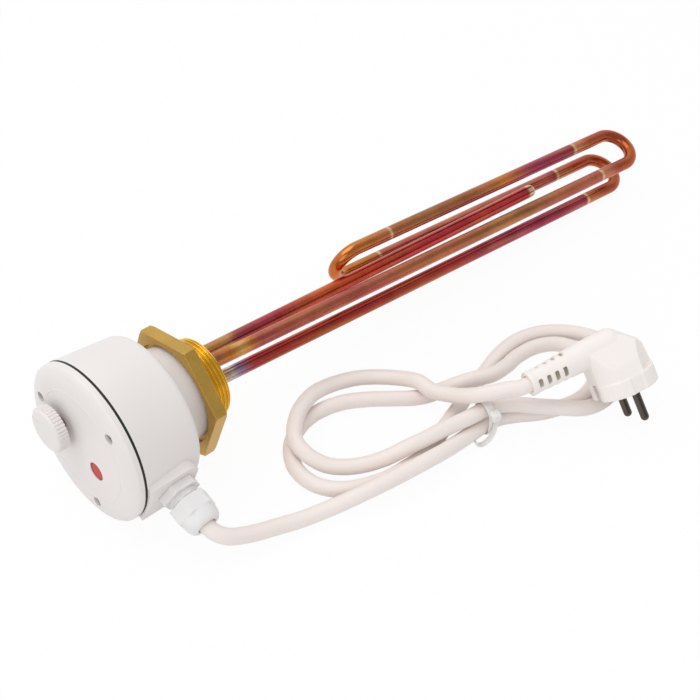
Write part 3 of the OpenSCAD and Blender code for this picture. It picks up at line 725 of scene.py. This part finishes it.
def element_tints_and_shade(copper):
    """Colours along the rod, above and below: tinted runs, with plain copper in the bends. The colours below
    are partly heat tint and partly painted shade of the undersides.
    """
    pink = (0.46, 0.19, 0.11)
    orange = (0.48, 0.17, 0.035)
    brown = (0.36, 0.125, 0.055)
    olive = (0.28, 0.125, 0.045)
    rose = (0.38, 0.105, 0.07)
    purple = (0.25, 0.03, 0.06)
    wine = (0.30, 0.05, 0.08)
    red = (0.34, 0.045, 0.035)
    rust = (0.28, 0.075, 0.018)
    gold = (0.56, 0.34, 0.10)
    steel = (0.42, 0.40, 0.38)
    blue = (0.22, 0.17, 0.28)
    upper = [
        (0, brown), (30, brown), (38, orange), (45, gold), (52, orange), (58, rose), (120, rose),
        (200, brown), (270, olive), (300, brown), (322, rose), (345.5, rose), (346.5, pink),
        (362, copper), (428, copper), (442.5, pink), (443.5, purple), (485, wine), (512, orange),
        (528, brown), (580, olive), (609.5, brown), (632, orange), (676, orange), (699.5, brown),
        (700.5, rose), (840, rose), (862, purple), (863, brown), (882, copper), (946, copper),
        (961, brown), (962, purple), (1040, wine), (1090, red), (1150, red), (1200, red), (1248, red),
        (1258, blue), (1263, steel), (1270, gold), (1308, brown),
    ]
    under = [
        (0, brown), (38, brown), (45, orange), (54, purple), (150, red), (250, brown), (300, purple),
        (345.5, purple), (346.5, brown), (362, copper), (428, copper), (442.5, brown), (443.5, purple),
        (560, purple), (609.5, red), (632, (0.46, 0.09, 0.02)), (676, (0.46, 0.09, 0.02)),
        (699.5, brown), (700.5, purple), (862, purple), (863, brown), (882, copper), (946, copper),
        (961, brown), (962, purple), (1050, purple), (1085, rust), (1240, rust), (1250, purple),
        (1260, blue), (1265, steel), (1272, gold), (1308, brown),
    ]
    return upper, under


class HEATER_OT_brass_plug(bpy.types.Operator):
    """Brass hexagon with its seat, and the pipe thread"""

    bl_idname = "heater.brass_plug"
    bl_label = "Screw plug"

    def execute(self, context):
        sizes = context.scene.heater_sizes
        colours = context.scene.heater_colours
        brass = tuple(colours.brass)
        satin = mottled(
            "satin_brass", brass, shade_of(brass, 0.72), rough=(0.30, 0.46), metal=0.85,
            scales=(70.0, 1200.0), share=0.5, bump=0.10, bump_depth=0.0002,
        )
        bright = mottled(
            "turned_brass", (0.92, 0.63, 0.10), (0.76, 0.47, 0.06), rough=(0.20, 0.32), metal=0.95,
            scales=(50.0, 900.0), share=0.3,
        )
        count = 360
        angle = HEX_CORNER + np.linspace(0, 2 * math.pi, count, endpoint=False)
        flat = HEX_HALF_FLATS_MM / np.cos((angle - HEX_CORNER) % (math.pi / 3) - math.pi / 6)
        stations = np.array([
            [-19.1, 0], [-19.1, 29.5], [-21.2, 29.5], [-21.6, 29.9], [-21.6, 36.9],
            [-21.0, 38.1], [-14.6, 38.1], [-14, 36.9], [-14, 25.4], [-13.6, 25.0], [-13.6, 22.0],
        ])
        radius = np.minimum(stations[:, 1:], flat[None, :])
        x = np.broadcast_to(stations[:, :1], radius.shape)
        hexagon = np.stack([x, radius * np.cos(angle), radius * np.sin(angle)], -1)
        body = grid_piece("plug_hexagon", on_heater(hexagon), satin, sharp=25.0)
        bevel = body.modifiers.new("edge", "BEVEL")
        bevel.width = 0.00045
        bevel.segments = 2
        bevel.limit_method = "ANGLE"
        bevel.angle_limit = math.radians(28.0)
        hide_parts("screw_plug")
        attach(body, BODY)
        thread = grid_piece("plug_thread", on_heater(thread_grid(sizes)), bright, sharp=50.0)
        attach(thread, BODY)
        return {"FINISHED"}


def thread_grid(sizes):
    """Helix: the radius is a triangle wave of x / pitch minus angle / 360, faded in at the far end."""
    pitch, depth = sizes.thread_pitch * 1000, sizes.thread_depth * 1000
    outer = THREAD_R * 1000
    count = 180
    x = np.linspace(-13.8, -0.05, 150)
    angle = np.linspace(0, 2 * math.pi, count, endpoint=False)
    phase = (x[:, None] / pitch - angle[None, :] / (2 * math.pi)) % 1.0
    wave = np.clip(1.25 * np.abs(2 * phase - 1) - 0.12, 0, 1)
    lead = np.clip((-x[:, None] - 0.05) / 1.6, 0, 1)
    radius = outer - depth * wave
    radius = np.minimum(radius, outer - 1.5 + 1.5 * lead)
    level = np.broadcast_to(x[:, None], radius.shape)
    body = np.stack([level, radius * np.cos(angle), radius * np.sin(angle)], -1)
    end = np.zeros((2, count, 3))
    end[0] = np.stack([np.zeros(count), 21.5 * np.cos(angle), 21.5 * np.sin(angle)], -1)
    return np.concatenate([body, end], 0)


class HEATER_OT_housing(bpy.types.Operator):
    """Housing, front cover, gasket, screws, knob and pilot lens"""

    bl_idname = "heater.housing"
    bl_label = "Housing and cover"

    def execute(self, context):
        colours = context.scene.heater_colours
        moulding = mottled(
            "moulded_white", colours.moulding, shade_of(colours.moulding, 0.96), rough=(0.38, 0.48),
            scales=(25.0, 1400.0), bump=0.12, bump_depth=0.00012,
        )
        paint(("housing", "front_cover", "knob", "lamp_holder"), moulding)
        ring = grid_piece("cover_ring", on_heater(cover_ring_grid()), moulding, wrap_u=True)
        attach(ring, BODY)
        rubber = mottled("gasket_rubber", (0.012, 0.012, 0.012), (0.006, 0.006, 0.006), rough=(0.55, 0.7))
        paint(("cover_gasket", "gland_seal"), rubber)
        steel = mottled("screw_steel", (0.45, 0.44, 0.43), (0.32, 0.31, 0.30), rough=(0.3, 0.42), metal=0.9)
        paint(("cover_screws", "housing_screws", "control_spindle", "terminal_pins", "sensing_rod"), steel)
        dark = mottled("control_plastic", (0.06, 0.06, 0.06), (0.04, 0.04, 0.04), rough=(0.5, 0.6))
        paint(("control_body",), dark)
        clay = mottled("insulator", (0.72, 0.69, 0.62), (0.64, 0.6, 0.53), rough=(0.5, 0.7))
        paint(("terminal_bushes",), clay)
        lens = mottled(
            "lens_red", colours.lens, shade_of(colours.lens, 0.8), rough=(0.3, 0.4), scales=(200.0, 2000.0),
            specular=0.15,
        )
        # Painted shade round the rim of the pilot lens.
        add_painted_rim_shade(lens, NODES["pilot_lens"])
        paint(("pilot_lens",), lens)
        return {"FINISHED"}


def axis_distance(tree, centre):
    """Socket with a point's distance from the line through a centre along the heater's axis."""
    where = node(tree, "ShaderNodeTexCoord", (-1300, -500))
    offset = node(tree, "ShaderNodeVectorMath", (-1100, -500), operation="SUBTRACT")
    offset.inputs[1].default_value = centre
    across = node(tree, "ShaderNodeVectorMath", (-900, -500), operation="CROSS_PRODUCT")
    across.inputs[1].default_value = AXIS_X
    distance = node(tree, "ShaderNodeVectorMath", (-700, -500), operation="LENGTH")
    tree.links.new(where.outputs["Object"], offset.inputs[0])
    tree.links.new(offset.outputs["Vector"], across.inputs[0])
    tree.links.new(across.outputs["Vector"], distance.inputs[0])
    return distance.outputs["Value"]


def cover_ring_grid():
    """Shallow bead round the field of the cover: a circle of 0.5 mm sunk until 0.2 mm of it is seen."""
    ring, bead, sunk = 32.3, 0.5, 0.3
    section = np.linspace(0, 2 * math.pi, 16, endpoint=False)
    angle = np.linspace(0, 2 * math.pi, 180, endpoint=False)
    radius = ring + bead * np.sin(section)[:, None]
    level = COVER_FACE_MM + sunk + bead * np.cos(section)[:, None]
    level = np.broadcast_to(level, (len(section), len(angle)))
    return np.stack([level, radius * np.cos(angle), radius * np.sin(angle)], -1)


def add_painted_rim_shade(material, lens):
    """Painted shade: darker rim of the lens, up to the part of its radius that the cover leaves free."""
    rim_from, rim_to = 0.62, 0.78
    points = np.array([v.co for v in lens.data.vertices])
    centre = (points.min(0) + points.max(0)) / 2
    radius = np.linalg.norm(np.cross(points - centre, AXIS_X), axis=1).max()
    tree = material.node_tree
    shader = next(n for n in tree.nodes if n.type == "BSDF_PRINCIPLED")
    plain = shader.inputs["Base Color"].links[0].from_socket
    edge = node(tree, "ShaderNodeMapRange", (-450, 400), interpolation_type="SMOOTHSTEP")
    edge.inputs["From Min"].default_value = rim_from * radius
    edge.inputs["From Max"].default_value = rim_to * radius
    over = node(tree, "ShaderNodeMix", (60, 300), data_type="RGBA", blend_type="MULTIPLY")
    over.inputs["B"].default_value = (0.5, 0.45, 0.45, 1)
    tree.links.new(axis_distance(tree, centre), edge.inputs["Value"])
    tree.links.new(edge.outputs["Result"], over.inputs["Factor"])
    tree.links.new(plain, over.inputs["A"])
    tree.links.new(over.outputs["Result"], shader.inputs["Base Color"])


class HEATER_OT_gland(bpy.types.Operator):
    """Cord gland"""

    bl_idname = "heater.gland"
    bl_label = "Cord gland"

    def execute(self, context):
        colours = context.scene.heater_colours
        nylon = mottled(
            "gland_nylon", colours.gland, shade_of(colours.gland, 0.96), rough=(0.34, 0.44),
            scales=(40.0, 1600.0), bump=0.06, bump_depth=0.0001,
        )
        paint(("gland_lock_nut",), nylon)
        for name, source in (("gland_hexagon", "gland_body"), ("gland_cap", "gland_nut")):
            piece = softened(name, source, nylon, 0.00032, 2)
            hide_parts(source)
            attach(piece, BODY)
        thread = grid_piece("gland_thread", on_heater(gland_thread_grid()), nylon, sharp=60.0)
        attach(thread, BODY)
        return {"FINISHED"}


def gland_thread_grid():
    """Thread between the gland's hexagons: radius a triangle wave of height / pitch minus angle / 360."""
    root, crest, pitch = 7.7, 8.5, 1.5
    height = np.linspace(50.9, 55.3, 56)
    angle = np.linspace(0, 2 * math.pi, 96, endpoint=False)
    phase = (height[:, None] / pitch - angle[None, :] / (2 * math.pi)) % 1.0
    radius = root + (crest - root) * np.clip(1.4 * (1 - np.abs(2 * phase - 1)), 0, 1)
    radius[0] = root - 0.6
    radius[-1] = root - 0.6
    level = np.broadcast_to(-height[:, None], radius.shape)
    return np.stack([GLAND_X_MM + radius * np.cos(angle), level, radius * np.sin(angle)], -1)


class HEATER_OT_mains_plug(bpy.types.Operator):
    """Mains plug, its pins, earth contacts and the cable tie"""

    bl_idname = "heater.mains_plug"
    bl_label = "Mains plug and tie"

    def execute(self, context):
        shell = mottled(
            "plug_moulding", (0.91, 0.85, 0.815), (0.88, 0.815, 0.775), rough=(0.40, 0.5),
            scales=(35.0, 1300.0), bump=0.08, bump_depth=0.0001,
        )
        multiply_by(shell, "shade")
        body = softened("plug_moulding", "plug_body", shell, 0.00042, 3)
        shade_slots(body)
        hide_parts("plug_body")
        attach(body, BODY)
        metal = mottled(
            "pin_nickel", (0.12, 0.10, 0.085), (0.08, 0.065, 0.055), rough=(0.08, 0.14), metal=1.0,
        )
        paint(("plug_pins",), metal)
        spring = mottled(
            "contact_nickel", (0.78, 0.75, 0.72), (0.70, 0.67, 0.64), rough=(0.3, 0.4), metal=1.0,
        )
        paint(("plug_earth_contacts",), spring)
        band = mottled("tie_nylon", (0.83, 0.80, 0.78), (0.77, 0.74, 0.72), rough=(0.22, 0.32), coat=0.2)
        for name, grid, closed in (
            ("tie_band", on_tie(ribbon(tie_loop(), 2.3, True)), True), ("tie_head", tie_head_grid(), False),
            ("tie_tail", tie_tail_grid(), False),
        ):
            piece = grid_piece(name, grid, band, wrap_u=closed)
            cap_ends(piece, grid.shape[1])
            if name == "tie_band":
                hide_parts("cable_tie")
            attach(piece, BODY)
        return {"FINISHED"}


def multiply_by(material, attribute):
    """Puts a colour attribute of the points over a material's colour."""
    tree = material.node_tree
    shader = next(n for n in tree.nodes if n.type == "BSDF_PRINCIPLED")
    plain = shader.inputs["Base Color"].links[0].from_socket
    layer = node(tree, "ShaderNodeAttribute", (-200, 400), attribute_name=attribute)
    over = node(tree, "ShaderNodeMix", (60, 250), data_type="RGBA", blend_type="MULTIPLY")
    over.inputs["Factor"].default_value = 1.0
    tree.links.new(plain, over.inputs["A"])
    tree.links.new(layer.outputs["Color"], over.inputs["B"])
    tree.links.new(over.outputs["Result"], shader.inputs["Base Color"])


def shade_slots(obj):
    """Darker colour inside the slots of the strain relief, by the depth below its tapered sleeve."""
    count = len(obj.data.vertices)
    at = np.empty(count * 3, np.float32)
    obj.data.vertices.foreach_get("co", at)
    local = (at.reshape(-1, 3) * 1000.0 - PLUG_AT_MM) @ turn_matrix(PLUG_TURN).T
    tip_x, tip_r, growth, run = -53.0, 6.7, 1.6, 35.0
    slots_x, slots_reach = -36.0, 15.0
    sleeve = tip_r + growth * (local[:, 0] - tip_x) / run
    depth = sleeve - np.hypot(local[:, 1], local[:, 2] - RELIEF_Z_MM)
    share = np.clip((depth - 0.4) / 0.8, 0, 1) * (np.abs(local[:, 0] - slots_x) < slots_reach)
    colour = np.ones((count, 4), np.float32)
    colour[:, :3] -= share[:, None] * np.array([0.55, 0.58, 0.64])
    layer = obj.data.color_attributes.new(name="shade", type="FLOAT_COLOR", domain="POINT")
    layer.data.foreach_set("color", colour.ravel())


def on_tie(points_mm):
    """Points of the tie's own axes, x along the cord, as points of the frame in metres."""
    return (TIE_AT_MM + np.asarray(points_mm, float) @ turn_matrix((0.0, 0.0, TIE_TURN))) / 1000.0


def tie_loop():
    """Loop of the band in its own plane: two half circles with straight sides between them."""
    half, straight = 7.2, 3.3
    angle = np.linspace(0, 2 * math.pi, 96, endpoint=False)
    rise = straight * np.tanh(6.0 * np.sin(angle))
    return np.stack([half * np.cos(angle), rise + half * np.sin(angle)], 1)


def ribbon(line, half_width, closed):
    """Flat superellipse section carried along a plane line: width first, then the plane's two axes."""
    step = np.roll(line, -1, 0) - np.roll(line, 1, 0) if closed else np.gradient(line, axis=0)
    step /= np.linalg.norm(step, axis=1, keepdims=True)
    out = np.stack([step[:, 1], -step[:, 0]], 1)
    half_thickness = 0.55
    angle = np.linspace(0, 2 * math.pi, 24, endpoint=False)
    wide = half_width * np.sign(np.cos(angle)) * np.abs(np.cos(angle)) ** 0.5
    thick = half_thickness * np.sign(np.sin(angle)) * np.abs(np.sin(angle)) ** 0.7
    flat = line[:, None, :] + thick[None, :, None] * out[:, None, :]
    return np.concatenate([np.broadcast_to(wide[None, :, None], (*flat.shape[:2], 1)), flat], -1)


def tie_tail_grid():
    """Free end of the band: it leaves the head, falls in front of the cord and curls along it."""
    points = np.array([
        [0.6, 8, 0], [0.4, 3, 0], [-0.6, -3, 0], [-3.2, -7.6, 0], [-7.5, -9.6, 0], [-11, -8.2, 0],
        [-12, -5.8, 0],
    ], float)
    grid = ribbon(smooth_line(points, 0.5)[:, :2], 1.7, False)
    return on_tie(np.stack([grid[..., 1], grid[..., 0] - 9.7, grid[..., 2]], -1))


def tie_head_grid():
    """Head of the tie: a rounded box, the superellipsoid with exponent 0.4 on both angles."""
    def power(value):
        return np.sign(value) * np.abs(value) ** 0.4
    down = np.linspace(-math.pi / 2, math.pi / 2, 20)[:, None]
    around = np.linspace(0, 2 * math.pi, 40, endpoint=False)[None, :]
    x = 0.4 + 2.8 * power(np.cos(down)) * power(np.cos(around))
    y = -8.2 + 3.0 * power(np.cos(down)) * power(np.sin(around))
    z = 7.6 + 2.6 * power(np.sin(down)) * np.ones_like(around)
    return on_tie(np.stack(np.broadcast_arrays(x, y, z), -1))


class HEATER_PT_panel(bpy.types.Panel):
    """Lists the pieces in the sidebar"""

    bl_label = "Immersion heater"
    bl_idname = "HEATER_PT_panel"
    bl_space_type = "VIEW_3D"
    bl_region_type = "UI"
    bl_category = "Heater"

    def draw(self, context):
        layout = self.layout
        for group in (context.scene.heater_sizes, context.scene.heater_colours, context.scene.heater_stage):
            box = layout.box()
            for key in group.__annotations__:
                box.prop(group, key)
        for operator in OPERATORS:
            layout.operator(operator.bl_idname)


GROUPS = (HeaterSizes, HeaterColours, StageSettings)
OPERATORS = (
    HEATER_OT_stage, HEATER_OT_cord, HEATER_OT_brass_plug, HEATER_OT_element, HEATER_OT_housing,
    HEATER_OT_gland, HEATER_OT_mains_plug,
)


def register():
    for item in (*GROUPS, *OPERATORS, HEATER_PT_panel):
        bpy.utils.register_class(item)
    bpy.types.Scene.heater_sizes = PointerProperty(type=HeaterSizes)
    bpy.types.Scene.heater_colours = PointerProperty(type=HeaterColours)
    bpy.types.Scene.heater_stage = PointerProperty(type=StageSettings)


def unregister():
    del bpy.types.Scene.heater_stage
    del bpy.types.Scene.heater_colours
    del bpy.types.Scene.heater_sizes
    for item in reversed((*GROUPS, *OPERATORS, HEATER_PT_panel)):
        bpy.utils.unregister_class(item)


def main():
    register()
    bpy.ops.heater.stage()
    bpy.ops.heater.mains_plug()
    bpy.ops.heater.cord()
    bpy.ops.heater.brass_plug()
    bpy.ops.heater.element()
    bpy.ops.heater.housing()
    bpy.ops.heater.gland()


if __name__ == "__main__":
    main()
